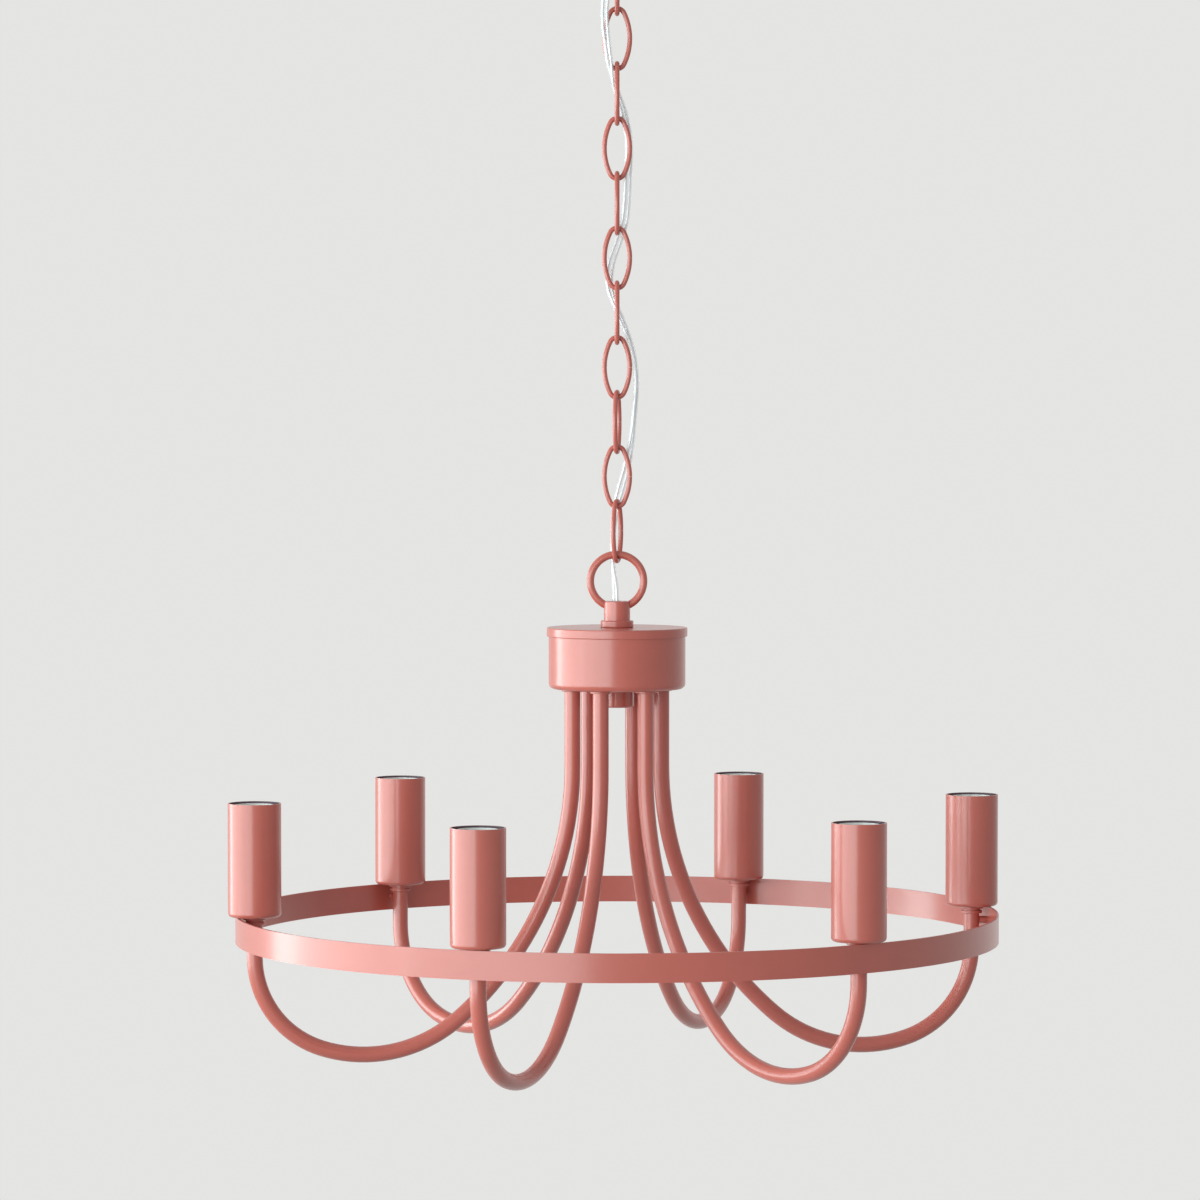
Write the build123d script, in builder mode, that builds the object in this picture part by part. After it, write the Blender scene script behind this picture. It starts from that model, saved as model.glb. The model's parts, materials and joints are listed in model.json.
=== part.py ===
"""Six-light iron chandelier on a chain, with its ceiling fitting.

Millimetres, +Z up. The origin is where the crossbar meets the ceiling, on the chandelier's axis.
The two loops and every second link stand in the XZ plane, the other links across it.
"""
from build123d import *
import os
from math import cos, pi, radians, sin, sqrt, tan

os.makedirs("parts", exist_ok=True)

# Fits shared by all pieces
SLIP = 0.2  # round a threaded rod or nipple, on the radius
SEAT = 0.3  # between loose neighbours
ROD_WALL = 1.2  # of every hollow threaded rod
NUT_WALL = 2.0  # from the rod to the nut's flats
NUT_H = 4.0

# Ceiling fitting
CROSSBAR_HOLES = 88.9  # hole to hole
CROSSBAR_HOLE_D = 4.8
CROSSBAR_END = 7.55  # past each hole
CROSSBAR_WIDTH = 16.0
CROSSBAR_THICK = 2.5
CROSSBAR_ROOM = 6.8  # from its ends to the canopy's wall
CANOPY_H = 25.0
CANOPY_WALL = 1.2
CANOPY_EDGE = 7.0

# Loops of the canopy and of the hub
LOOP_RING_D = 48.5
LOOP_WIRE = 6.0
LOOP_SINK = 5.2  # middle of the wire below the collar's end
LOOP_COLLAR_D = 21.0
LOOP_COLLAR_H = 15.45
LOOP_SEAT_D = 26.3
LOOP_SEAT_H = 5.5
LOOP_MOUTH = 4.5  # collar left beyond the rod's end
LOOP_SEAT_EDGE = 0.8
LOOP_CHAMFER = 0.6

# Chain
LINK_COUNT = 11
LINK_WIRE = 3.9
LINK_EYE_LENGTH = 43.8
LINK_EYE_WIDTH = 16.3
LINK_BOW_ROOM = 0.15  # beside a neighbour's wire in a bow
LINK_GAP = 0.3  # between two hooked bows
LINK_SEAM = 0.15
LINK_YAW = {9: 10.0, 11: 18.0}  # links that hang turned about the chain, in degrees

# Hub
SHEET = 1.4
LID_CLEARANCE = 0.15
LID_RIM_H = 7.2
LID_EDGE = 0.8
LID_LIP = 0.7  # round of the rim's lower edge
HUB_ROOM = 9.2  # from the arms' nuts to the can's wall
HUB_H = 49.0
CAN_EDGE = 4.5
FINIAL_D = 26.8
FINIAL_GRIP = 9.0  # rod inside the finial
FINIAL_END = 5.7  # solid below the rod
FINIAL_CHAMFER = 1.0
SLOT_WIDTH = 6.0
SLOT_HEIGHT = 20.0
CONNECTOR_D = 9.0
CONNECTOR_H = 18.0
CONNECTOR_CHAMFER = 2.0

# Arms
ARM_COUNT = 6
ARM_TURN = 8.85  # of the first arm from the loop's plane, in degrees
ARM_D = 12.7
ARM_WALL = 1.2
ARM_PLUG = 8.0  # plugged stretch at each end of the tube
ARM_PLUG_WALL = 1.15  # round the nipple at the cup
ARM_TOP_R = 36.0
ARM_COLLAR_STEP = 2.35  # collar past the tube
ARM_COLLAR_H = 2.0
ARM_COLLAR_EDGE = 0.5
ARM_DROP = 59.5  # straight below the hub
ARM_UPPER_R = 265.0
ARM_UPPER_TURN = 49.2
ARM_OUTER_R = 77.3
ARM_OUTER_TURN = 71.7
ARM_RISE = 26.3  # straight below the cup's collar
ARM_THREAD_TAIL = 1.5  # thread past the nut
LEAD_D = 5.0
LEAD_TAIL = 6.0  # lead past the end of its nipple

# Sockets
SHELL_BORE = 26.6
SHELL_WALL = 0.5
SHELL_H = 24.0
SOCKET_WALL = 2.0
SOCKET_LIP = 4.0  # white rim above the metal shell
SOCKET_EDGE = 0.8
SOCKET_FLOOR = 7.4  # between the contact and the lead's end
SOCKET_GRIP = 8.0  # nipple inside the socket's base
SOCKET_DROP = 1.2  # below the cup's rim
CONTACT_D = 9.0
CONTACT_H = 2.0
CONTACT_CHAMFER = 0.6
CONTACT_ROOM = 4.5  # round the contact in its well

# Cups
CUP_ROOM = 3.95  # between socket and cup
CUP_H = 90.0
CUP_WALL = 1.2
CUP_EDGE = 3.0
CUP_COLLAR_STEP = 2.35  # lower flange past the tube
CUP_COLLAR_GROOVE_STEP = 0.85
CUP_COLLAR_TOP_STEP = 3.15
CUP_COLLAR_FLANGE = 2.3
CUP_COLLAR_GROOVE = 1.4
CUP_COLLAR_EDGE = 0.5

# Hoop
HOOP_D = 609.6
HOOP_H = 22.0
HOOP_THICK = 2.0
HOOP_STANDOFF = 6.05  # from the arms to the hoop
HOOP_DROP = 0.7  # below the cups
HOOP_PIN_D = 6.0
WELD_GAP = 0.05

# Cord: a clear flat twin of 7 by 3.5, here as a round tube of about the same section
CORD_D = 5.0
CORD_BEND_SHARE = 0.45  # of the shorter run beside each bend
CORD_ROUTE = [  # x, y and how many links below the first link's middle
    (-1, 0, -1.56),
    (-1, 0, -1.17),
    (-2.5, -4, -0.78),
    (-5.5, -8, -0.36),
    (-8.5, -8.5, 0.10),
    (-10.5, -7, 0.60),
    (-8, -6.3, 1.13),
    (-5, -5.2, 1.64),
    (0.5, 0, 2.03),
    (7, 4.8, 2.44),
    (10, 6.8, 2.97),
    (8.6, 6.3, 3.54),
    (7.6, 6.6, 4.00),
    (5.6, 8.4, 4.42),
    (-0.6, 9, 4.79),
    (-5.8, 8.2, 5.15),
    (-6.6, 5.8, 5.51),
    (-1.6, 2, 5.86),
    (5.8, 3.4, 6.24),
    (13.2, 4.8, 6.70),
    (16, 3.6, 7.24),
    (14.2, 3.5, 7.76),
    (12, 4.5, 8.28),
    (8.8, 6.6, 8.72),
    (4, 8.6, 9.13),
    (-0.5, 11.8, 9.52),
    (-3, 11.2, 9.93),
    (-4, 8.2, 10.33),
    (-3, 4, 10.72),
    (-1, 0, 11.12),
    (-1, 0, 11.52),
]

# Diameters and radii that follow from these
rod_d = ARM_D - 2 * (ARM_PLUG_WALL + SLIP)
rod_bore = rod_d - 2 * ROD_WALL
rod_hole_r = rod_d / 2 + SLIP
nut_corner_r = (rod_d + 2 * NUT_WALL) / sqrt(3)
crossbar_length = CROSSBAR_HOLES + 2 * CROSSBAR_END
canopy_d = crossbar_length + 2 * (CROSSBAR_ROOM + CANOPY_WALL)
ring_r = (LOOP_RING_D - LOOP_WIRE) / 2
can_r = ARM_TOP_R + nut_corner_r + HUB_ROOM + SHEET
arm_bore_r = ARM_D / 2 - ARM_WALL
lead_bore = LEAD_D + 2 * SEAT
shell_r = SHELL_BORE / 2 + SHELL_WALL
socket_r = shell_r + SLIP + SOCKET_WALL
cup_r = socket_r + CUP_ROOM + CUP_WALL
hoop_r = HOOP_D / 2
cup_circle_r = hoop_r - HOOP_THICK - HOOP_STANDOFF - ARM_D / 2

# Heights of the ceiling fitting, the chain and the hub
canopy_base = -CANOPY_H
loop_rise = LOOP_SEAT_H + LOOP_COLLAR_H + ring_r - LOOP_SINK
upper_ring_z = canopy_base - loop_rise
hook = LOOP_WIRE / 2 + LINK_GAP + LINK_WIRE / 2  # a loop's wire to a link's bow
link_a = (LINK_EYE_LENGTH + LINK_WIRE) / 2
link_b = (LINK_EYE_WIDTH + LINK_WIRE) / 2
link_end_r = LINK_WIRE / 2 + LINK_WIRE + LINK_BOW_ROOM
link_pitch = 2 * link_a - LINK_WIRE - LINK_GAP
first_link_z = upper_ring_z - ring_r + hook - link_a
last_link_z = first_link_z - (LINK_COUNT - 1) * link_pitch
hub_ring_z = last_link_z - link_a + hook - ring_r
lid_top = hub_ring_z - loop_rise
can_top = lid_top - SHEET
can_floor = lid_top - HUB_H
can_inside = can_floor + SHEET

# Heights of the arms, the cups and the hoop
arm_start = can_floor - ARM_COLLAR_H
upper_turn = radians(ARM_UPPER_TURN)
outer_turn = radians(ARM_OUTER_TURN)
upper_reach = ARM_UPPER_R * (1 - cos(upper_turn))
outer_reach = ARM_OUTER_R * (1 - cos(outer_turn))
middle_reach = cup_circle_r - ARM_TOP_R - upper_reach - outer_reach
middle_r = middle_reach / (cos(upper_turn) + cos(outer_turn))
middle_drop = middle_r * (sin(outer_turn) - sin(upper_turn))
outer_rise = ARM_OUTER_R * sin(outer_turn)
arm_drop_end = arm_start - ARM_DROP
rise_start = arm_drop_end - ARM_UPPER_R * sin(upper_turn) - middle_drop + outer_rise
arm_end = rise_start + ARM_RISE
arm_thread = ARM_COLLAR_H + SHEET + NUT_H + ARM_THREAD_TAIL
cup_base = arm_end + 2 * CUP_COLLAR_FLANGE + CUP_COLLAR_GROOVE
cup_inside = cup_base + CUP_WALL
socket_top = cup_base + CUP_H - SOCKET_DROP
shell_top = socket_top - SOCKET_LIP
shell_base = shell_top - SHELL_H
well_base = shell_base - CONTACT_H - SEAT
lead_end = well_base - SOCKET_FLOOR
nipple_top = lead_end - LEAD_TAIL
socket_base = nipple_top - SOCKET_GRIP
hoop_top = cup_base - HOOP_DROP
hoop_base = hoop_top - HOOP_H

arm_angles = [ARM_TURN + 360 / ARM_COUNT * k for k in range(ARM_COUNT)]


def round_places(radius, angles):
    """Places on a circle about the axis."""
    return [Location((radius * cos(radians(a)), radius * sin(radians(a)), 0)) for a in angles]


arm_places = round_places(ARM_TOP_R, arm_angles)
cup_places = round_places(cup_circle_r, arm_angles)
connector_places = round_places(ARM_TOP_R, [ARM_TURN + 180 / ARM_COUNT, ARM_TURN + 180 / ARM_COUNT + 180])


def save(piece, name):
    """Label a finished piece and write it under its name."""
    piece.label = name
    export_step(piece, f"parts/{name}.step")


def upright_plane(degrees, height=0.0):
    """A standing plane through the axis: its x points out at this angle and its y points up."""
    a = radians(degrees)
    return Plane(origin=(0, 0, height), x_dir=(cos(a), sin(a), 0), z_dir=(sin(a), -cos(a), 0))


def nuts(places, base):
    """Hexagon nuts on threaded rods, with their lower faces at this height."""
    with BuildPart() as made:
        with BuildSketch(Plane.XY.offset(base)):
            with Locations(*places):
                RegularPolygon(nut_corner_r, 6)
                Circle(rod_hole_r, mode=Mode.SUBTRACT)
        extrude(amount=NUT_H)
    return made.part


def rings(places, base, outer_d, height, edge):
    """Round-edged collars on threaded rods, with their lower faces at this height."""
    with BuildPart() as made:
        with BuildSketch(Plane.XY.offset(base)):
            with Locations(*places):
                Circle(outer_d / 2)
        extrude(amount=height)
        fillet(made.edges().filter_by(GeomType.CIRCLE), edge)
        with BuildSketch(Plane.XY.offset(base)):
            with Locations(*places):
                Circle(rod_hole_r)
        extrude(amount=height, mode=Mode.SUBTRACT)
    return made.part


def loop(foot, up):
    """A cast ring on a bored collar. up is 1 where the ring stands on the collar, -1 where it hangs."""
    collar_foot = foot + up * LOOP_SEAT_H
    collar_end = collar_foot + up * LOOP_COLLAR_H
    rod_end = collar_end - up * LOOP_MOUTH
    ring_z = foot + up * loop_rise
    with BuildPart() as made:
        with BuildSketch(Plane.XY.offset(collar_foot)):
            Circle(LOOP_COLLAR_D / 2)
        extrude(amount=up * LOOP_COLLAR_H)
        chamfer(made.edges().sort_by(Axis.Z)[-1 if up > 0 else 0], LOOP_CHAMFER)
        with BuildSketch(Plane.XY.offset(ring_z)):
            with Locations((ring_r, 0)):
                Circle(LOOP_WIRE / 2)
        revolve(axis=Axis((0, 0, ring_z), (0, 1, 0)))
        with BuildSketch(Plane.XY.offset(collar_foot)):
            Circle(rod_hole_r)
        extrude(amount=rod_end - collar_foot, mode=Mode.SUBTRACT)
        with BuildSketch(Plane.XY.offset(rod_end)):
            Circle(rod_bore / 2)
        extrude(amount=up * (LOOP_MOUTH + LOOP_WIRE), mode=Mode.SUBTRACT)
    return made.part


# Crossbar: a flat bar against the ceiling box
with BuildPart() as crossbar:
    with BuildSketch(Plane.XY.offset(-CROSSBAR_THICK)):
        SlotOverall(crossbar_length, CROSSBAR_WIDTH)
        Circle(rod_hole_r, mode=Mode.SUBTRACT)
        with GridLocations(CROSSBAR_HOLES, 0, 2, 1):
            Circle(CROSSBAR_HOLE_D / 2, mode=Mode.SUBTRACT)
    extrude(amount=CROSSBAR_THICK)
save(crossbar.part, "crossbar")

# Canopy: a shallow pan whose rim lies on the ceiling
with BuildPart() as canopy:
    with BuildSketch(Plane.XY.offset(canopy_base)):
        Circle(canopy_d / 2)
    extrude(amount=CANOPY_H)
    fillet(canopy.edges().sort_by(Axis.Z)[0], CANOPY_EDGE)
    offset(amount=-CANOPY_WALL, openings=canopy.faces().sort_by(Axis.Z)[-1])
    with BuildSketch(Plane.XY.offset(canopy_base)):
        Circle(rod_hole_r)
    extrude(amount=CANOPY_WALL, mode=Mode.SUBTRACT)
save(canopy.part, "canopy")

# Canopy stem: hangs in the crossbar and carries the loop
canopy_stem_end = canopy_base - LOOP_SEAT_H - LOOP_COLLAR_H + LOOP_MOUTH
with BuildPart() as canopy_stem:
    with BuildSketch(Plane.XY.offset(canopy_stem_end)):
        Circle(rod_d / 2)
        Circle(rod_bore / 2, mode=Mode.SUBTRACT)
    extrude(amount=-canopy_stem_end)
save(canopy_stem.part, "canopy_stem")

axis_place = [Location((0, 0, 0))]
save(nuts(axis_place, -CROSSBAR_THICK - NUT_H), "canopy_nut")
canopy_seat = rings(axis_place, canopy_base - LOOP_SEAT_H, LOOP_SEAT_D, LOOP_SEAT_H, LOOP_SEAT_EDGE)
save(canopy_seat, "canopy_loop_seat")
save(loop(canopy_base, -1), "canopy_loop")

# Chain: oval links of round wire, each an open wire whose ends meet at a seam in one side
side_r = (link_b**2 + (link_a - link_end_r) ** 2 - link_end_r**2) / (2 * (link_b - link_end_r))
side_x = side_r - link_b
end_y = link_a - link_end_r
side_turn = Vector(side_x, end_y).get_angle(Vector(1, 0))
seam_turn = LINK_SEAM / 2 / side_r * 180 / pi


def chain_link(number):
    """One link, counted from the ceiling. Odd links stand across the loops' plane."""
    turn = (90.0 if number % 2 else 0.0) - LINK_YAW.get(number, 0.0)
    middle = first_link_z - (number - 1) * link_pitch
    with BuildPart() as made:
        with BuildLine(upright_plane(turn, middle)) as wire:
            CenterArc((-side_x, 0), side_r, seam_turn, side_turn - seam_turn)
            CenterArc((0, end_y), link_end_r, side_turn, 180 - 2 * side_turn)
            CenterArc((side_x, 0), side_r, 180 - side_turn, 2 * side_turn)
            CenterArc((0, -end_y), link_end_r, 180 + side_turn, 180 - 2 * side_turn)
            CenterArc((-side_x, 0), side_r, -side_turn, side_turn - seam_turn)
        path = wire.wires()[0]
        with BuildSketch(Plane(origin=path @ 0, z_dir=path % 0)):
            Circle(LINK_WIRE / 2)
        sweep(path=path)
    return made.part


for number in range(1, LINK_COUNT + 1):
    save(chain_link(number), f"link_{number:02d}")

# Cord: one tube from loop to loop, written in stretches that part halfway down each link
points = [Vector(x, y, first_link_z - down * link_pitch) for x, y, down in CORD_ROUTE]
runs = [b - a for a, b in zip(points, points[1:])]
turns = [a.get_angle(b) for a, b in zip(runs, runs[1:])]
bends = [
    CORD_BEND_SHARE * min(a.length, b.length) / tan(radians(t) / 2)
    for a, b, t in zip(runs, runs[1:], turns)
]
print("cord runs", [round(r.length, 1) for r in runs])
print("cord bend radii", [round(r) for r in bends])
with BuildPart() as cord:
    with BuildLine() as route:
        FilletPolyline(points, radius=bends)
    cord_path = route.wires()[0]
    with BuildSketch(Plane(origin=cord_path @ 0, z_dir=cord_path % 0)):
        Circle(CORD_D / 2)
    sweep(path=cord_path)
cord_section = pi * CORD_D**2 / 4
print("cord length", round(cord_path.length, 1))
print("cord volume over section times length", round(cord.part.volume / cord_section / cord_path.length, 4))

cord_cuts = [first_link_z - k * link_pitch for k in range(LINK_COUNT)]
for k in range(LINK_COUNT + 1):
    with BuildPart() as stretch:
        add(cord.part)
        if k > 0:
            split(bisect_by=Plane.XY.offset(cord_cuts[k - 1]), keep=Keep.BOTTOM)
        if k < LINK_COUNT:
            split(bisect_by=Plane.XY.offset(cord_cuts[k]), keep=Keep.TOP)
    save(stretch.part, f"cord_{k + 1:02d}")

# Hub: loop, lid and can, clamped on a hollow threaded stem with a slot for the leads
save(loop(lid_top, 1), "hub_loop")
save(rings(axis_place, lid_top, LOOP_SEAT_D, LOOP_SEAT_H, LOOP_SEAT_EDGE), "hub_loop_seat")

lid_bore_r = can_r + LID_CLEARANCE
with BuildPart() as hub_lid:
    with BuildSketch(Plane.XY.offset(lid_top - LID_RIM_H)):
        Circle(lid_bore_r + SHEET)
    extrude(amount=LID_RIM_H)
    fillet(hub_lid.edges().sort_by(Axis.Z)[-1], LID_EDGE)
    fillet(hub_lid.edges().sort_by(Axis.Z)[0], LID_LIP)
    with BuildSketch(Plane.XY.offset(lid_top - LID_RIM_H)):
        Circle(lid_bore_r)
    extrude(amount=LID_RIM_H - SHEET, mode=Mode.SUBTRACT)
    with BuildSketch(Plane.XY.offset(can_top)):
        Circle(rod_hole_r)
    extrude(amount=SHEET, mode=Mode.SUBTRACT)
save(hub_lid.part, "hub_lid")

with BuildPart() as hub_can:
    with BuildSketch(Plane.XY.offset(can_floor)):
        Circle(can_r)
    extrude(amount=can_top - can_floor)
    fillet(hub_can.edges().sort_by(Axis.Z)[0], CAN_EDGE)
    offset(amount=-SHEET, openings=hub_can.faces().sort_by(Axis.Z)[-1])
    with BuildSketch(Plane.XY.offset(can_floor)):
        Circle(rod_hole_r)
        with Locations(*arm_places):
            Circle(rod_hole_r)
    extrude(amount=SHEET, mode=Mode.SUBTRACT)
save(hub_can.part, "hub_can")

stem_top = lid_top + LOOP_SEAT_H + LOOP_COLLAR_H - LOOP_MOUTH
stem_end = can_floor - FINIAL_GRIP + SEAT
slot_middle = (can_top + can_inside) / 2
with BuildPart() as hub_stem:
    with BuildSketch(Plane.XY.offset(stem_end)):
        Circle(rod_d / 2)
        Circle(rod_bore / 2, mode=Mode.SUBTRACT)
    extrude(amount=stem_top - stem_end)
    with BuildSketch(Plane.XZ):
        with Locations((0, slot_middle)):
            SlotOverall(SLOT_HEIGHT, SLOT_WIDTH, rotation=90)
    extrude(amount=rod_d, mode=Mode.SUBTRACT)
save(hub_stem.part, "hub_stem")

with BuildPart() as hub_stem_nuts:
    add(nuts(axis_place, can_top - NUT_H))
    add(nuts(axis_place, can_inside))
save(hub_stem_nuts.part, "hub_stem_nuts")

with BuildPart() as finial:
    with BuildSketch(Plane.XY.offset(can_floor)):
        Circle(FINIAL_D / 2)
    extrude(amount=-FINIAL_GRIP - FINIAL_END)
    chamfer(finial.edges().sort_by(Axis.Z)[0], FINIAL_CHAMFER)
    with BuildSketch(Plane.XY.offset(can_floor)):
        Circle(rod_hole_r)
    extrude(amount=-FINIAL_GRIP, mode=Mode.SUBTRACT)
save(finial.part, "finial")

with BuildPart() as wire_connectors:
    with BuildSketch(Plane.XY.offset(can_inside)):
        with Locations(*connector_places):
            Circle(CONNECTOR_D / 2)
    extrude(amount=CONNECTOR_H)
    chamfer(wire_connectors.edges().group_by(Axis.Z)[-1], CONNECTOR_CHAMFER)
save(wire_connectors.part, "wire_connectors")

# Arms: bent tubes, threaded into the can above and open for the cup's nipple at the other end
def arm_line(turn, start, end):
    """Centreline of an arm, from this height in the hub to this height at the cup."""
    with BuildLine(upright_plane(turn)) as line:
        down = Line((ARM_TOP_R, start), (ARM_TOP_R, arm_drop_end))
        upper = JernArc(down @ 1, down % 1, ARM_UPPER_R, ARM_UPPER_TURN)
        middle = JernArc(upper @ 1, upper % 1, middle_r, 180 - ARM_UPPER_TURN - ARM_OUTER_TURN)
        outer = JernArc(middle @ 1, middle % 1, ARM_OUTER_R, ARM_OUTER_TURN)
        Line(outer @ 1, (cup_circle_r, end))
    return line.wires()[0]


def arm(turn, top_place, cup_place):
    """One hollow arm with its threaded upper end and the seat of the cup's nipple."""
    outside = arm_line(turn, arm_start, arm_end)
    inside = arm_line(turn, arm_start - ARM_PLUG, arm_end - ARM_PLUG)
    with BuildPart() as made:
        with BuildSketch(Plane(origin=outside @ 0, z_dir=outside % 0)):
            Circle(ARM_D / 2)
        sweep(path=outside)
        with BuildSketch(Plane(origin=inside @ 0, z_dir=inside % 0)):
            Circle(arm_bore_r)
        sweep(path=inside, mode=Mode.SUBTRACT)
        with BuildSketch(Plane.XY.offset(arm_start)):
            with Locations(top_place):
                Circle(rod_d / 2)
        extrude(amount=arm_thread)
        with BuildSketch(Plane.XY.offset(arm_start - ARM_PLUG)):
            with Locations(top_place):
                Circle(lead_bore / 2)
        extrude(amount=ARM_PLUG + arm_thread, mode=Mode.SUBTRACT)
        with BuildSketch(Plane.XY.offset(arm_end - ARM_PLUG)):
            with Locations(cup_place):
                Circle(rod_hole_r)
        extrude(amount=ARM_PLUG, mode=Mode.SUBTRACT)
    return made.part


for k in range(ARM_COUNT):
    save(arm(arm_angles[k], arm_places[k], cup_places[k]), f"arm_{k + 1}")

arm_collar_d = ARM_D + 2 * ARM_COLLAR_STEP
save(rings(arm_places, arm_start, arm_collar_d, ARM_COLLAR_H, ARM_COLLAR_EDGE), "arm_collars")
save(nuts(arm_places, can_inside), "arm_nuts")

# Hoop: one flat strip, held off each arm by a short welded pin
with BuildPart() as hoop:
    with BuildSketch(Plane.XY.offset(hoop_base)):
        Circle(hoop_r)
        Circle(hoop_r - HOOP_THICK, mode=Mode.SUBTRACT)
    extrude(amount=HOOP_H)
save(hoop.part, "hoop")

with BuildPart() as hoop_pins:
    for degrees in arm_angles:
        out = Vector(cos(radians(degrees)), sin(radians(degrees)), 0)
        foot = out * cup_circle_r + Vector(0, 0, hoop_base + HOOP_H / 2)
        with BuildSketch(Plane(origin=foot, z_dir=out)):
            Circle(HOOP_PIN_D / 2)
        extrude(amount=hoop_r - cup_circle_r)
    with BuildSketch(Plane.XY.offset(hoop_base)):
        with Locations(*cup_places):
            Circle(ARM_D / 2 + WELD_GAP)
    extrude(amount=HOOP_H, mode=Mode.SUBTRACT)
    with BuildSketch(Plane.XY.offset(hoop_base)):
        Circle(hoop_r + HOOP_THICK)
        Circle(hoop_r - HOOP_THICK - WELD_GAP, mode=Mode.SUBTRACT)
    extrude(amount=HOOP_H, mode=Mode.SUBTRACT)
save(hoop_pins.part, "hoop_pins")

# Cups: drawn cans on grooved collars, each clamped by a nut on a hollow nipple
groove_base = arm_end + CUP_COLLAR_FLANGE
top_flange_base = groove_base + CUP_COLLAR_GROOVE
groove_r = ARM_D / 2 + CUP_COLLAR_GROOVE_STEP
flange_d = ARM_D + 2 * CUP_COLLAR_STEP
top_flange_d = ARM_D + 2 * CUP_COLLAR_TOP_STEP
with BuildPart() as cup_collars:
    add(rings(cup_places, arm_end, flange_d, CUP_COLLAR_FLANGE, CUP_COLLAR_EDGE))
    add(rings(cup_places, top_flange_base, top_flange_d, CUP_COLLAR_FLANGE, CUP_COLLAR_EDGE))
    with BuildSketch(Plane.XY.offset(groove_base)):
        with Locations(*cup_places):
            Circle(groove_r)
            Circle(rod_hole_r, mode=Mode.SUBTRACT)
    extrude(amount=CUP_COLLAR_GROOVE)
save(cup_collars.part, "cup_collars")


def cup(place):
    """One open cup with a rounded lower edge."""
    with BuildPart() as made:
        with BuildSketch(Plane.XY.offset(cup_base)):
            with Locations(place):
                Circle(cup_r)
        extrude(amount=CUP_H)
        fillet(made.edges().sort_by(Axis.Z)[0], CUP_EDGE)
        offset(amount=-CUP_WALL, openings=made.faces().sort_by(Axis.Z)[-1])
        with BuildSketch(Plane.XY.offset(cup_base)):
            with Locations(place):
                Circle(rod_hole_r)
        extrude(amount=CUP_WALL, mode=Mode.SUBTRACT)
    return made.part


for k in range(ARM_COUNT):
    save(cup(cup_places[k]), f"cup_{k + 1}")
save(nuts(cup_places, cup_inside), "cup_nuts")

with BuildPart() as socket_nipples:
    with BuildSketch(Plane.XY.offset(arm_end - ARM_PLUG)):
        with Locations(*cup_places):
            Circle(rod_d / 2)
            Circle(lead_bore / 2, mode=Mode.SUBTRACT)
    extrude(amount=nipple_top - arm_end + ARM_PLUG)
save(socket_nipples.part, "socket_nipples")

# Sockets: a white body with a lip above the metal shell, and a contact in a well below it
with BuildPart() as socket_bodies:
    with BuildSketch(Plane.XY.offset(socket_base)):
        with Locations(*cup_places):
            Circle(socket_r)
    extrude(amount=socket_top - socket_base)
    fillet(socket_bodies.edges().group_by(Axis.Z)[-1], SOCKET_EDGE)
    with BuildSketch(Plane.XY.offset(shell_base)):
        with Locations(*cup_places):
            Circle(shell_r + SLIP)
    extrude(amount=socket_top - shell_base, mode=Mode.SUBTRACT)
    with BuildSketch(Plane.XY.offset(well_base)):
        with Locations(*cup_places):
            Circle(CONTACT_D / 2 + CONTACT_ROOM)
    extrude(amount=shell_base - well_base, mode=Mode.SUBTRACT)
    with BuildSketch(Plane.XY.offset(socket_base)):
        with Locations(*cup_places):
            Circle(rod_hole_r)
    extrude(amount=SOCKET_GRIP, mode=Mode.SUBTRACT)
    with BuildSketch(Plane.XY.offset(nipple_top)):
        with Locations(*cup_places):
            Circle(lead_bore / 2)
    extrude(amount=lead_end - nipple_top, mode=Mode.SUBTRACT)
save(socket_bodies.part, "socket_bodies")

with BuildPart() as socket_shells:
    with BuildSketch(Plane.XY.offset(shell_base)):
        with Locations(*cup_places):
            Circle(shell_r)
            Circle(SHELL_BORE / 2, mode=Mode.SUBTRACT)
    extrude(amount=SHELL_H)
save(socket_shells.part, "socket_shells")

with BuildPart() as socket_contacts:
    with BuildSketch(Plane.XY.offset(well_base)):
        with Locations(*cup_places):
            Circle(CONTACT_D / 2)
    extrude(amount=CONTACT_H)
    chamfer(socket_contacts.edges().group_by(Axis.Z)[-1], CONTACT_CHAMFER)
save(socket_contacts.part, "socket_contacts")

# Leads: one sheathed pair through each arm, from the hub into the socket's base
with BuildPart() as arm_leads:
    for degrees in arm_angles:
        lead = arm_line(degrees, arm_start + arm_thread + LEAD_TAIL, lead_end - SEAT)
        with BuildSketch(Plane(origin=lead @ 0, z_dir=lead % 0)):
            Circle(LEAD_D / 2)
        sweep(path=lead)
save(arm_leads.part, "arm_leads")
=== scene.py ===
"""Looks of the six-light iron chandelier: powder coat, sockets, cord, light and camera. Metres, +Z up."""
import json
import math

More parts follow.
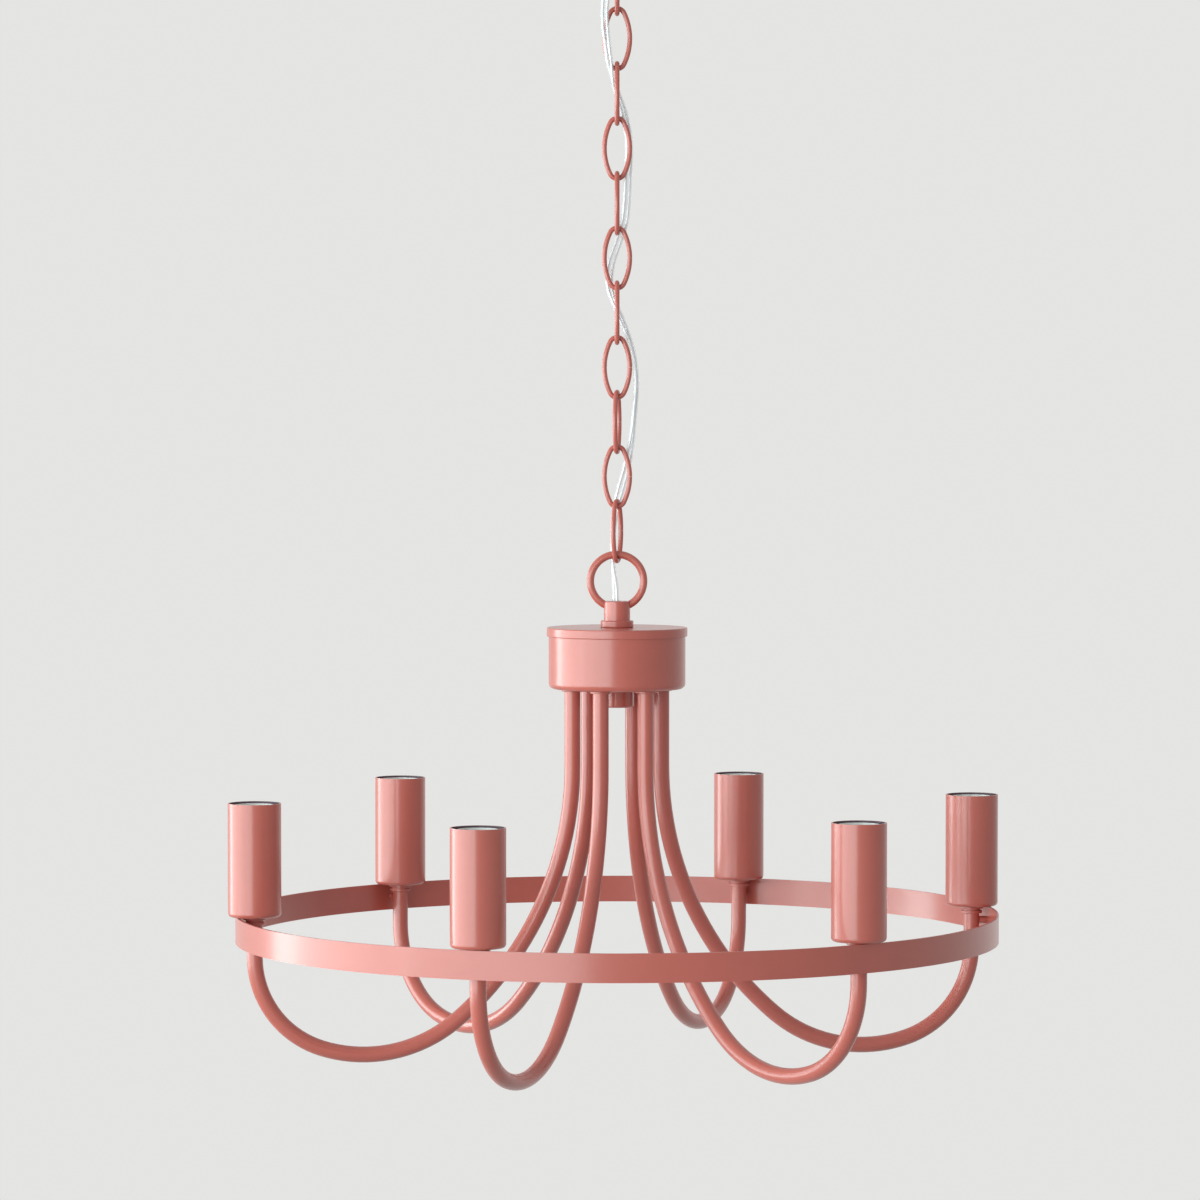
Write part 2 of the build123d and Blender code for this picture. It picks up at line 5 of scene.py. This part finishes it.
import bpy
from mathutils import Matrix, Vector


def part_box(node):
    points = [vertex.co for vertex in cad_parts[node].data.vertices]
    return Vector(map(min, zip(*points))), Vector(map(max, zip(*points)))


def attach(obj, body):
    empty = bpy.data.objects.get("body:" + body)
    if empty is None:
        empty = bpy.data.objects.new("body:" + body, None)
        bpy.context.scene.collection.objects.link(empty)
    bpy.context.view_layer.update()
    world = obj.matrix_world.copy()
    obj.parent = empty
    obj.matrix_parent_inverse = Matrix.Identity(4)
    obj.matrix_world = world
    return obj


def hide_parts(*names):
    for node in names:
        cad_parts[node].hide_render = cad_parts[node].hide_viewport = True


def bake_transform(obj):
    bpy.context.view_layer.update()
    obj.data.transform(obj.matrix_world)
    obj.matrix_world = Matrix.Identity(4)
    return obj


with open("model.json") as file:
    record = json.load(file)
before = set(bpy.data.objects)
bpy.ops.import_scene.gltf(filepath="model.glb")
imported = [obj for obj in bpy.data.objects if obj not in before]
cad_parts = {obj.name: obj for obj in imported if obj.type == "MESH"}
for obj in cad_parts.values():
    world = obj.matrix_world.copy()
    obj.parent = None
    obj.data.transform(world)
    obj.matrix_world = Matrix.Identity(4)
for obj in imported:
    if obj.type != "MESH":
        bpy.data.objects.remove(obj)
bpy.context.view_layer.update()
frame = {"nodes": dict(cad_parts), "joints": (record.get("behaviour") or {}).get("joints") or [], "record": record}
nodes = frame["nodes"]
joints = frame["joints"]
cups = sorted(name for name in nodes if name.removeprefix("cup_").isdigit())

MM = 0.001

# Camera, from the photograph's perspective
CAMERA_PLACE = (-0.0136, -4.088, -0.4234)
CAMERA_PITCH = 2.36  # degrees down
CAMERA_LENS = 153.75
CAMERA_SENSOR = 36.0

# Cord: a clear flat twin round two stranded cores
CORD_WIDTH = 7.2 * MM
CORD_LOBE_R = 1.85 * MM
CORD_LOBE_OFF = CORD_WIDTH / 2 - CORD_LOBE_R  # from the cord's middle to a lobe's middle
CORD_CORE_R = 0.95 * MM
CORD_LOBE_SIDES = 14
CORD_CORE_SIDES = 12
CORD_ORDER = 3
CORD_STEPS = 10
CORD_MERGE = 0.3 * MM  # a ring nearer than this to a stretch's end is left out
CORD_AHEAD = CORD_WIDTH / 4  # a ring's direction runs from this far above it to this far below
STRAND_LAY = 12.0 * MM  # one turn of the strands in a core
CORD_ROUTE = [  # x and y in mm, and how many links below the first link's middle
    (-1, 0, -1.56),
    (-1, 0, -1.17),
    (-2.5, -4, -0.78),
    (-5.5, -8, -0.36),
    (-8.5, -8.5, 0.10),
    (-10.5, -7, 0.60),
    (-8, -6.3, 1.13),
    (-5, -5.2, 1.64),
    (0.5, 0, 2.03),
    (7, 4.8, 2.44),
    (10, 6.8, 2.97),
    (8.6, 6.3, 3.54),
    (7.6, 6.6, 4.00),
    (5.6, 8.4, 4.42),
    (-0.6, 9, 4.79),
    (-5.8, 8.2, 5.15),
    (-6.6, 5.8, 5.51),
    (-1.6, 2, 5.86),
    (5.8, 3.4, 6.24),
    (13.2, 4.8, 6.70),
    (16, 3.6, 7.24),
    (14.2, 3.5, 7.76),
    (12, 4.5, 8.28),
    (8.8, 6.6, 8.72),
    (4, 8.6, 9.13),
    (-0.5, 11.8, 9.52),
    (-3, 11.2, 9.93),
    (-4, 8.2, 10.33),
    (-3, 4, 10.72),
    (-1, 0, 11.12),
    (-1, 0, 11.52),
]
# Height in mm and the turn of the cord's flat side there: 0 lies across the view, 90 stands edge on
CORD_TWIST = [(-34, 60), (-85, 35), (-125, 5), (-160, 35), (-190, 130), (-215, 150), (-250, 160),
              (-290, 170), (-325, 180), (-360, 125), (-395, 105), (-450, 110), (-490, 165),
              (-520, 215), (-545, 265), (-562, 268), (-585, 235), (-603, 230)]

# Socket shells: thin metal rolled into the lamp's screw thread
THREAD_PITCH = 3.63 * MM
THREAD_R = 12.9 * MM
THREAD_WAVE = 0.7 * MM
SHELL_FLARE_R = 13.75 * MM  # at both ends
SHELL_SHEET = 0.4 * MM
SHELL_SIDES = 56
SHELL_ROWS = 80

# Powder coat; a noise is given by features per metre, detail and share of the finer ones
PAINT = (0.5, 0.113, 0.084)
PAINT_SHADES = (0.94, 1.06)
PAINT_CLOUD = (38.0, 3.0, 0.6)
PAINT_ROUGHNESS = (0.36, 0.46)
PAINT_WEAR = (420.0, 2.0)
PAINT_PEEL = (620.0, 1.5)
PAINT_PEEL_DEPTH = 0.08 * MM
PAINT_PEEL_STRENGTH = 0.7
PAINT_GRAIN = (2600.0, 1.0)
PAINT_GRAIN_DEPTH = 0.012 * MM
PAINT_GRAIN_STRENGTH = 0.5
PAINT_SPECULAR = 0.3
PAINT_COAT = 0.7
PAINT_COAT_ROUGHNESS = 0.21

# Painted shade inside the cups: a dark colour on the inner wall and floor, where shade falls
CUP_PAINTED_SHADE = (0.095, 0.05, 0.07)
CUP_PAINTED_SHADE_TONES = (0.8, 1.25)
CUP_PAINTED_SHADE_EDGE = 0.1 * MM  # how far it goes past the inner wall and the floor
CUP_WALL = 1.2 * MM

# Other finishes: dark and light tone, lowest and highest roughness, and the noise of each
ZINC_TONES = ((0.46, 0.46, 0.44), (0.66, 0.66, 0.64))
ZINC_CRYSTALS = (900.0, 3.0)
ZINC_ROUGHNESS = (0.28, 0.45)
ZINC_WEAR = (1500.0, 2.0)
GLAZE_TONES = ((0.84, 0.84, 0.81), (0.9, 0.9, 0.87))
GLAZE_CLOUD = (120.0, 3.0)
GLAZE_ROUGHNESS = (0.2, 0.32)
GLAZE_WEAR = (700.0, 2.0)
GLAZE_RIPPLE = (900.0, 2.0)
GLAZE_RIPPLE_DEPTH = 0.03 * MM
GLAZE_RIPPLE_STRENGTH = 0.4
SHELL_TONES = ((0.5, 0.5, 0.48), (0.74, 0.74, 0.72))
CONTACT_TONES = ((0.5, 0.36, 0.14), (0.72, 0.55, 0.25))
SHEET_CLOUD = (800.0, 3.0)
SHEET_ROUGHNESS = (0.22, 0.4)
SHEET_WEAR = (1200.0, 2.0)
CONNECTOR_TONES = ((0.66, 0.63, 0.55), (0.78, 0.75, 0.68))
LEAD_TONES = ((0.62, 0.6, 0.54), (0.74, 0.72, 0.66))
PLASTIC_CLOUD = (300.0, 3.0)
PLASTIC_ROUGHNESS = (0.4, 0.55)
PLASTIC_WEAR = (900.0, 2.0)
JACKET_TONES = ((0.84, 0.84, 0.84), (0.9, 0.9, 0.9))
JACKET_CLOUD = (140.0, 2.0)
JACKET_ROUGHNESS = (0.1, 0.2)
JACKET_WEAR = (240.0, 2.0)
JACKET_ALPHA = 0.22  # share of the jacket that isn't seen through
JACKET_IOR = 1.5
STRAND_TONES = ((0.74, 0.74, 0.76), (0.82, 0.82, 0.84))
STRAND_BANDS = 3.0
STRAND_UNEVEN = 0.4
STRAND_DETAIL = 1.0
STRAND_DEPTH = 0.02 * MM
STRAND_STRENGTH = 0.3
STRAND_METALLIC = 0.6
STRAND_ROUGHNESS = 0.5

# Backdrop and floor
BACKGROUND = (0.78, 0.78, 0.765)
FLOOR_Z = -7.0  # low enough for a look from underneath
FLOOR_R = 14.0
FLOOR_SIDES = 96
FLOOR_GLOW = 0.9  # share of the floor's tone that doesn't depend on the lamps
FLOOR_SHADES = (0.985, 1.015)
FLOOR_CLOUD = (1.5, 3.0)
FLOOR_ROUGHNESS = 0.9

# Lamps, turned to the fixture: name, place, width, height, power, and whether gloss shows them
LAMP_COLOR = (0.84, 0.99, 1.0)
LAMP_AIM = (0, 0, -0.75)
LAMPS = [
    ("window", (-2.79, -3.8, -0.6), 5.0, 2.25, 190.0, True),
    ("side_window", (-3.75, -0.3, -0.68), 3.3, 2.1, 108.0, True),
    ("back_window", (-3.52, 1.57, -0.53), 0.9, 1.95, 43.0, True),
    ("back_fill", (1.6, 3.9, -0.5), 3.0, 2.0, 110.0, False),
]

# Soft light from below, from the side and from above
AMBIENT_BELOW = 0.18
AMBIENT = 0.46
AMBIENT_ABOVE = 0.44
AMBIENT_TURN = 0.35  # height on the unit sphere where the light from below or above is reached


def new_material(name):
    """An empty node material with its shader."""
    material = bpy.data.materials.new(name)
    material.use_nodes = True
    tree = material.node_tree
    shader = tree.nodes["Principled BSDF"]
    return material, tree, shader


def node(tree, kind, **inputs):
    """A node with some of its inputs set."""
    made = tree.nodes.new(kind)
    for key, value in inputs.items():
        made.inputs[key.replace("_", " ")].default_value = value
    return made


def around(count):
    """Equal steps of one full turn."""
    return [2 * math.pi * k / count for k in range(count)]


def noise(tree, scale, detail, roughness=0.5):
    """Noise over the object's own coordinates, in features per metre."""
    place = tree.nodes.new("ShaderNodeTexCoord")
    made = node(tree, "ShaderNodeTexNoise", Scale=scale, Detail=detail, Roughness=roughness)
    tree.links.new(place.outputs["Object"], made.inputs["Vector"])
    return made.outputs["Fac"]


def spread(tree, value, low, high):
    """A value from 0 to 1 mapped to low to high."""
    made = node(tree, "ShaderNodeMapRange", To_Min=low, To_Max=high)
    tree.links.new(value, made.inputs["Value"])
    return made.outputs["Result"]


def tinted(tree, value, dark, light):
    """A colour ramp between two colours."""
    ramp = tree.nodes.new("ShaderNodeValToRGB")
    ramp.color_ramp.elements[0].color = (*dark, 1)
    ramp.color_ramp.elements[1].color = (*light, 1)
    tree.links.new(value, ramp.inputs["Fac"])
    return ramp.outputs["Color"]


def bump(tree, height, distance, strength, after=None):
    """A bump of this depth in metres, on top of another if there is one."""
    made = node(tree, "ShaderNodeBump", Strength=strength, Distance=distance)
    tree.links.new(height, made.inputs["Height"])
    if after is not None:
        tree.links.new(after, made.inputs["Normal"])
    return made.outputs["Normal"]


def shades(color, factors):
    """A darker and a lighter tone of one colour."""
    return [tuple(min(1.0, c * factor) for c in color) for factor in factors]


def combined(tree, operation, one, other):
    """Two values made one; the second may be a plain number."""
    made = tree.nodes.new("ShaderNodeMath")
    made.operation = operation
    tree.links.new(one, made.inputs[0])
    if isinstance(other, float):
        made.inputs[1].default_value = other
    else:
        tree.links.new(other, made.inputs[1])
    return made.outputs[0]


def seen(tree):
    """1 where the surround is looked at: straight on, through clear matter or in a gloss."""
    path = tree.nodes.new("ShaderNodeLightPath")
    through = combined(tree, "MAXIMUM", path.outputs["Is Camera Ray"], path.outputs["Is Transmission Ray"])
    return combined(tree, "MAXIMUM", through, path.outputs["Is Glossy Ray"])


def varied(tree, shader, tones, cloud, roughness, wear):
    """Colour between two tones and roughness between two values, each by its own noise."""
    tree.links.new(tinted(tree, noise(tree, *cloud), *tones), shader.inputs["Base Color"])
    tree.links.new(spread(tree, noise(tree, *wear), *roughness), shader.inputs["Roughness"])


def painted_shade_mask(tree, cup):
    """1 on a cup's inner wall and floor, where the shade is painted, 0 on the rest of it."""
    low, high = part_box(cup)
    middle = (low + high) / 2
    place = tree.nodes.new("ShaderNodeTexCoord")
    offset = tree.nodes.new("ShaderNodeVectorMath")
    offset.operation = "SUBTRACT"
    offset.inputs[1].default_value = (middle.x, middle.y, low.z + CUP_WALL - CUP_PAINTED_SHADE_EDGE)
    tree.links.new(place.outputs["Object"], offset.inputs[0])
    split = tree.nodes.new("ShaderNodeSeparateXYZ")
    tree.links.new(offset.outputs["Vector"], split.inputs["Vector"])
    flat = tree.nodes.new("ShaderNodeCombineXYZ")
    tree.links.new(split.outputs["X"], flat.inputs["X"])
    tree.links.new(split.outputs["Y"], flat.inputs["Y"])
    radius = tree.nodes.new("ShaderNodeVectorMath")
    radius.operation = "LENGTH"
    tree.links.new(flat.outputs["Vector"], radius.inputs[0])
    bore = (high.x - low.x) / 2 - CUP_WALL
    within = combined(tree, "LESS_THAN", radius.outputs["Value"], bore + CUP_PAINTED_SHADE_EDGE)
    above = combined(tree, "GREATER_THAN", split.outputs["Z"], 0.0)
    return combined(tree, "MINIMUM", within, above)


def powder_coat(name, cup=None):
    """Satin terracotta powder coat with orange peel and a faint cloud in its colour; in a cup, painted shade on
    the inner wall and floor.
    """
    material, tree, shader = new_material(name)
    cloud = noise(tree, *PAINT_CLOUD)
    paint = tinted(tree, cloud, *shades(PAINT, PAINT_SHADES))
    if cup is not None:
        # Painted shade: the cup's inner wall and floor take a dark colour in place of the coat
        mix = tree.nodes.new("ShaderNodeMixRGB")
        tree.links.new(painted_shade_mask(tree, cup), mix.inputs["Fac"])
        tree.links.new(paint, mix.inputs["Color1"])
        tree.links.new(tinted(tree, cloud, *shades(CUP_PAINTED_SHADE, CUP_PAINTED_SHADE_TONES)), mix.inputs["Color2"])
        paint = mix.outputs["Color"]
    tree.links.new(paint, shader.inputs["Base Color"])
    tree.links.new(spread(tree, noise(tree, *PAINT_WEAR), *PAINT_ROUGHNESS), shader.inputs["Roughness"])
    peel = bump(tree, noise(tree, *PAINT_PEEL), PAINT_PEEL_DEPTH, PAINT_PEEL_STRENGTH)
    grain = bump(tree, noise(tree, *PAINT_GRAIN), PAINT_GRAIN_DEPTH, PAINT_GRAIN_STRENGTH, peel)
    tree.links.new(grain, shader.inputs["Normal"])
    shader.inputs["Specular IOR Level"].default_value = PAINT_SPECULAR
    shader.inputs["Coat Weight"].default_value = PAINT_COAT
    shader.inputs["Coat Roughness"].default_value = PAINT_COAT_ROUGHNESS
    return material


def zinc_steel():
    """Bright zinc plating with faint crystals."""
    material, tree, shader = new_material("zinc_steel")
    varied(tree, shader, ZINC_TONES, ZINC_CRYSTALS, ZINC_ROUGHNESS, ZINC_WEAR)
    shader.inputs["Metallic"].default_value = 1.0
    return material


def white_socket():
    """Glazed white socket."""
    material, tree, shader = new_material("white_socket")
    varied(tree, shader, GLAZE_TONES, GLAZE_CLOUD, GLAZE_ROUGHNESS, GLAZE_WEAR)
    ripple = bump(tree, noise(tree, *GLAZE_RIPPLE), GLAZE_RIPPLE_DEPTH, GLAZE_RIPPLE_STRENGTH)
    tree.links.new(ripple, shader.inputs["Normal"])
    return material


def socket_metal(name, tones):
    """Rolled thin metal of the socket's shell and contact."""
    material, tree, shader = new_material(name)
    varied(tree, shader, tones, SHEET_CLOUD, SHEET_ROUGHNESS, SHEET_WEAR)
    shader.inputs["Metallic"].default_value = 1.0
    return material


def plain_plastic(name, tones):
    """Moulded plastic of hidden wiring pieces."""
    material, tree, shader = new_material(name)
    varied(tree, shader, tones, PLASTIC_CLOUD, PLASTIC_ROUGHNESS, PLASTIC_WEAR)
    return material


def clear_jacket():
    """Clear soft plastic, a little milky."""
    material, tree, shader = new_material("clear_jacket")
    varied(tree, shader, JACKET_TONES, JACKET_CLOUD, JACKET_ROUGHNESS, JACKET_WEAR)
    shader.inputs["Alpha"].default_value = JACKET_ALPHA
    shader.inputs["IOR"].default_value = JACKET_IOR
    return material


def silver_strands():
    """Tinned strands laid in a twist, seen through the jacket."""
    material, tree, shader = new_material("silver_strands")
    place = tree.nodes.new("ShaderNodeUVMap")
    place.uv_map = "Lay"
    wave = node(tree, "ShaderNodeTexWave", Scale=STRAND_BANDS, Distortion=STRAND_UNEVEN, Detail=STRAND_DETAIL)
    wave.bands_direction = "DIAGONAL"
    tree.links.new(place.outputs["UV"], wave.inputs["Vector"])
    tree.links.new(tinted(tree, wave.outputs["Fac"], *STRAND_TONES), shader.inputs["Base Color"])
    tree.links.new(bump(tree, wave.outputs["Fac"], STRAND_DEPTH, STRAND_STRENGTH), shader.inputs["Normal"])
    shader.inputs["Metallic"].default_value = STRAND_METALLIC
    shader.inputs["Roughness"].default_value = STRAND_ROUGHNESS
    return material


MATERIALS = {
    "painted_iron": powder_coat("powder_coat"),
    "zinc_steel": zinc_steel(),
    "white_socket": white_socket(),
    "socket_shell": socket_metal("socket_shell", SHELL_TONES),
    "socket_contact": socket_metal("socket_contact", CONTACT_TONES),
    "connector": plain_plastic("connector", CONNECTOR_TONES),
    "lead_sheath": plain_plastic("lead_sheath", LEAD_TONES),
    "clear_cord": clear_jacket(),
}
strands = silver_strands()


def finish_nodes():
    """Every piece gets its slot's finish, and a cup a coat of its own with painted shade inside."""
    slots = {s["node"]: s["material_slot"] for s in frame["record"]["subparts"]}
    for name, piece in nodes.items():
        finish = powder_coat(f"{name}_coat", name) if name in cups else MATERIALS[slots[name]]
        piece.data.materials.clear()
        piece.data.materials.append(finish)


def link_middle(number):
    """Height of a link's middle, counted from the ceiling."""
    low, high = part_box(f"link_{number:02d}")
    return (low.z + high.z) / 2


def cord_line():
    """Points along the cord's route, read from its smooth spline."""
    curve = bpy.data.curves.new("cord_route", "CURVE")
    curve.dimensions = "3D"
    spline = curve.splines.new("NURBS")
    spline.points.add(len(CORD_ROUTE) - 1)
    top = link_middle(1)
    pitch = top - link_middle(2)
    for point, (x, y, down) in zip(spline.points, CORD_ROUTE):
        point.co = (x * MM, y * MM, top - down * pitch, 1.0)
    spline.order_u = CORD_ORDER
    spline.use_endpoint_u = True
    spline.resolution_u = CORD_STEPS
    carrier = bpy.data.objects.new("cord_route", curve)
    mesh = bpy.data.meshes.new_from_object(carrier)
    points = [v.co.copy() for v in mesh.vertices]
    bpy.data.meshes.remove(mesh)
    bpy.data.objects.remove(carrier)
    bpy.data.curves.remove(curve)
    return points


def between(points, height):
    """The point of the falling line at this height."""
    if height >= points[0].z:
        return points[0].copy()
    for a, b in zip(points, points[1:]):
        if b.z <= height:
            return a.lerp(b, (a.z - height) / (a.z - b.z))
    return points[-1].copy()


def twist_at(height):
    """Turn of the flat side at this height, in radians."""
    z = height / MM
    for (z0, t0), (z1, t1) in zip(CORD_TWIST, CORD_TWIST[1:]):
        if z1 <= z <= z0:
            s = (z0 - z) / (z0 - z1)
            return math.radians(t0 + (t1 - t0) * s * s * (3 - 2 * s))
    return math.radians(CORD_TWIST[0][1] if z > CORD_TWIST[0][0] else CORD_TWIST[-1][1])


def twin_outline():
    """The jacket's section: two round lobes that meet at a waist."""
    open_angle = math.acos(CORD_LOBE_OFF / CORD_LOBE_R)
    sweep = 2 * (math.pi - open_angle)
    outline = []
    for side in (1, -1):
        start = -(math.pi - open_angle) if side > 0 else open_angle
        for k in range(CORD_LOBE_SIDES):
            a = start + sweep * (k + 0.5) / CORD_LOBE_SIDES
            outline.append((side * CORD_LOBE_OFF + CORD_LOBE_R * math.cos(a), CORD_LOBE_R * math.sin(a)))
    return outline


def core_outline(side):
    """The section of one of the two cores."""
    return [(side * CORD_LOBE_OFF + CORD_CORE_R * math.cos(a), CORD_CORE_R * math.sin(a))
            for a in around(CORD_CORE_SIDES)]


def cord_ring(line, height):
    """The cord's place at this height, with the directions of its wide and its thin side."""
    ahead = (between(line, height - CORD_AHEAD) - between(line, height + CORD_AHEAD)).normalized()
    across = (Vector((1, 0, 0)) - ahead * ahead.x).normalized()
    turn = twist_at(height)
    wide = across * math.cos(turn) + ahead.cross(across) * math.sin(turn)
    return between(line, height), wide, ahead.cross(wide)


def add_tube(parts, rings, outline, slot, ends):
    """Sweeps a closed outline through the rings and closes the ends that are asked for."""
    verts, faces, slots, lay = parts
    base = len(verts)
    count = len(outline)
    run = 0.0
    for i, (place, wide, thin) in enumerate(rings):
        if i:
            run += (place - rings[i - 1][0]).length
        for k, (u, v) in enumerate(outline):
            verts.append(place + wide * u + thin * v)
            lay.append((k / count, run / STRAND_LAY))
    for i in range(len(rings) - 1):
        for k in range(count):
            a = base + i * count + k
            b = base + i * count + (k + 1) % count
            faces.append((a, b, b + count, a + count))
            slots.append(slot)
    first = range(base, base + count)
    last = range(base + (len(rings) - 1) * count, base + len(rings) * count)
    for wanted, face in zip(ends, (tuple(reversed(first)), tuple(last))):
        if wanted:
            faces.append(face)
            slots.append(slot)


def cord_stretch(name, rings, ends):
    """One stretch of cord: jacket and two cores in one mesh."""
    parts = ([], [], [], [])
    add_tube(parts, rings, twin_outline(), 0, ends)
    for side in (1, -1):
        add_tube(parts, rings, core_outline(side), 1, ends)
    verts, faces, slots, lay = parts
    mesh = bpy.data.meshes.new(name)
    mesh.from_pydata(verts, [], faces)
    mesh.materials.append(MATERIALS["clear_cord"])
    mesh.materials.append(strands)
    mesh.polygons.foreach_set("material_index", slots)
    layer = mesh.uv_layers.new(name="Lay")
    for loop in mesh.loops:
        layer.data[loop.index].uv = lay[loop.vertex_index]
    mesh.shade_smooth()
    piece = bpy.data.objects.new(name, mesh)
    bpy.context.scene.collection.objects.link(piece)
    return piece


def hang_cord():
    """The cord in one stretch for each hinge, parted halfway down each link and running across its hinge."""
    line = cord_line()
    middles = [link_middle(k) for k in range(1, len(joints))]
    tops = [line[0].z] + middles
    bottoms = middles + [line[-1].z]
    for k, joint in enumerate(joints):
        inner = [p.z for p in line if bottoms[k] + CORD_MERGE < p.z < tops[k] - CORD_MERGE]
        rings = [cord_ring(line, z) for z in [tops[k]] + inner + [bottoms[k]]]
        piece = cord_stretch(f"cord_stretch_{k + 1:02d}", rings, (k == 0, k == len(joints) - 1))
        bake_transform(piece)
        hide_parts(f"cord_{k + 1:02d}")


def thread_radius(rise, height, angle):
    """Outer radius of a socket's shell at this rise above its lower end."""
    inward = min(1.0, rise / THREAD_PITCH, (height - rise) / THREAD_PITCH)
    thread = THREAD_R + THREAD_WAVE * math.cos(2 * math.pi * rise / THREAD_PITCH - angle)
    return SHELL_FLARE_R + (thread - SHELL_FLARE_R) * inward


def add_shell(verts, faces, middle, low, high):
    """One threaded shell: up the outer face, over the upper edge and down the inner face."""
    base = len(verts)
    rises = [(high - low) * i / SHELL_ROWS for i in range(SHELL_ROWS + 1)]
    rows = [(rise, 0.0) for rise in rises] + [(rise, SHELL_SHEET) for rise in reversed(rises)]
    for rise, inset in rows:
        for angle in around(SHELL_SIDES):
            radius = thread_radius(rise, high - low, angle) - inset
            x = middle.x + radius * math.cos(angle)
            y = middle.y + radius * math.sin(angle)
            verts.append((x, y, low + rise))
    for i in range(len(rows)):
        row = base + i * SHELL_SIDES
        above = base + (i + 1) % len(rows) * SHELL_SIDES
        for k in range(SHELL_SIDES):
            beside = (k + 1) % SHELL_SIDES
            faces.append((row + k, row + beside, above + beside, above + k))


def thread_shells():
    """The six threaded shells, in one piece as their plain solids are."""
    low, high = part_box("socket_shells")
    verts = []
    faces = []
    for name in cups:
        cup_low, cup_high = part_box(name)
        add_shell(verts, faces, (cup_low + cup_high) / 2, low.z, high.z)
    mesh = bpy.data.meshes.new("threaded_shells")
    mesh.from_pydata(verts, [], faces)
    mesh.materials.append(MATERIALS["socket_shell"])
    mesh.shade_smooth()
    piece = bpy.data.objects.new("threaded_shells", mesh)
    bpy.context.scene.collection.objects.link(piece)
    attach(piece, "fixture")
    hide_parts("socket_shells")


def set_camera():
    """The photograph's viewpoint."""
    data = bpy.data.cameras.new("camera")
    data.lens = CAMERA_LENS
    data.sensor_width = CAMERA_SENSOR
    camera = bpy.data.objects.new("camera", data)
    camera.location = CAMERA_PLACE
    camera.rotation_euler = (math.radians(90 - CAMERA_PITCH), 0, 0)
    bpy.context.scene.collection.objects.link(camera)
    bpy.context.scene.camera = camera


def set_world():
    """A pale surround: soft light on the object, and the plain backdrop behind it."""
    world = bpy.data.worlds.new("studio")
    bpy.context.scene.world = world
    world.use_nodes = True
    tree = world.node_tree
    tree.nodes.clear()
    out = tree.nodes.new("ShaderNodeOutputWorld")
    light = node(tree, "ShaderNodeBackground", Strength=1.0)
    place = tree.nodes.new("ShaderNodeTexCoord")
    split = tree.nodes.new("ShaderNodeSeparateXYZ")
    tree.links.new(place.outputs["Generated"], split.inputs["Vector"])
    height = node(tree, "ShaderNodeMapRange", From_Min=-AMBIENT_TURN, From_Max=AMBIENT_TURN)
    tree.links.new(split.outputs["Z"], height.inputs["Value"])
    levels = tree.nodes.new("ShaderNodeValToRGB")
    levels.color_ramp.elements.new(0.5)
    for stop, level in zip(levels.color_ramp.elements, (AMBIENT_BELOW, AMBIENT, AMBIENT_ABOVE)):
        stop.color = (level, level, level, 1)
    tree.links.new(height.outputs["Result"], levels.inputs["Fac"])
    tree.links.new(levels.outputs["Color"], light.inputs["Color"])
    backdrop = node(tree, "ShaderNodeBackground", Color=(*BACKGROUND, 1), Strength=1.0)
    mix = tree.nodes.new("ShaderNodeMixShader")
    tree.links.new(seen(tree), mix.inputs["Fac"])
    tree.links.new(light.outputs[0], mix.inputs[1])
    tree.links.new(backdrop.outputs[0], mix.inputs[2])
    tree.links.new(mix.outputs[0], out.inputs["Surface"])


def area_light(name, place, width, height, power, in_gloss):
    """A soft rectangular light turned to the fixture."""
    data = bpy.data.lights.new(name, "AREA")
    data.shape = "RECTANGLE"
    data.size = width
    data.size_y = height
    data.energy = power
    data.color = LAMP_COLOR
    light = bpy.data.objects.new(name, data)
    light.location = place
    light.rotation_euler = (Vector(LAMP_AIM) - Vector(place)).to_track_quat("-Z", "Y").to_euler()
    light.visible_camera = False
    light.visible_glossy = in_gloss
    bpy.context.scene.collection.objects.link(light)


def floor_paint():
    """Pale floor: the backdrop's own tone to the eye, with a share of real light for the shadow."""
    material, tree, shader = new_material("floor")
    tone = tinted(tree, noise(tree, *FLOOR_CLOUD), *shades(BACKGROUND, FLOOR_SHADES))
    tree.links.new(tone, shader.inputs["Base Color"])
    shader.inputs["Roughness"].default_value = FLOOR_ROUGHNESS
    # Brings the floor near the backdrop's tone
    level = (1 - (1 - FLOOR_GLOW) * AMBIENT) / FLOOR_GLOW
    glow = node(tree, "ShaderNodeEmission", Color=(*BACKGROUND, 1), Strength=level)
    mix = tree.nodes.new("ShaderNodeMixShader")
    tree.links.new(combined(tree, "MULTIPLY", seen(tree), FLOOR_GLOW), mix.inputs["Fac"])
    tree.links.new(shader.outputs["BSDF"], mix.inputs[1])
    tree.links.new(glow.outputs["Emission"], mix.inputs[2])
    tree.links.new(mix.outputs["Shader"], tree.nodes["Material Output"].inputs["Surface"])
    return material


def set_floor():
    """A plain pale floor, well below the hanging object."""
    mesh = bpy.data.meshes.new("floor")
    rim = [(FLOOR_R * math.cos(a), FLOOR_R * math.sin(a), FLOOR_Z) for a in around(FLOOR_SIDES)]
    mesh.from_pydata(rim, [], [tuple(range(FLOOR_SIDES))])
    mesh.materials.append(floor_paint())
    floor = bpy.data.objects.new("floor", mesh)
    bpy.context.scene.collection.objects.link(floor)
    floor.visible_diffuse = False


finish_nodes()
hang_cord()
thread_shells()
set_camera()
set_world()
for lamp in LAMPS:
    area_light(*lamp)
set_floor()
bpy.context.scene.view_settings.view_transform = "Standard"
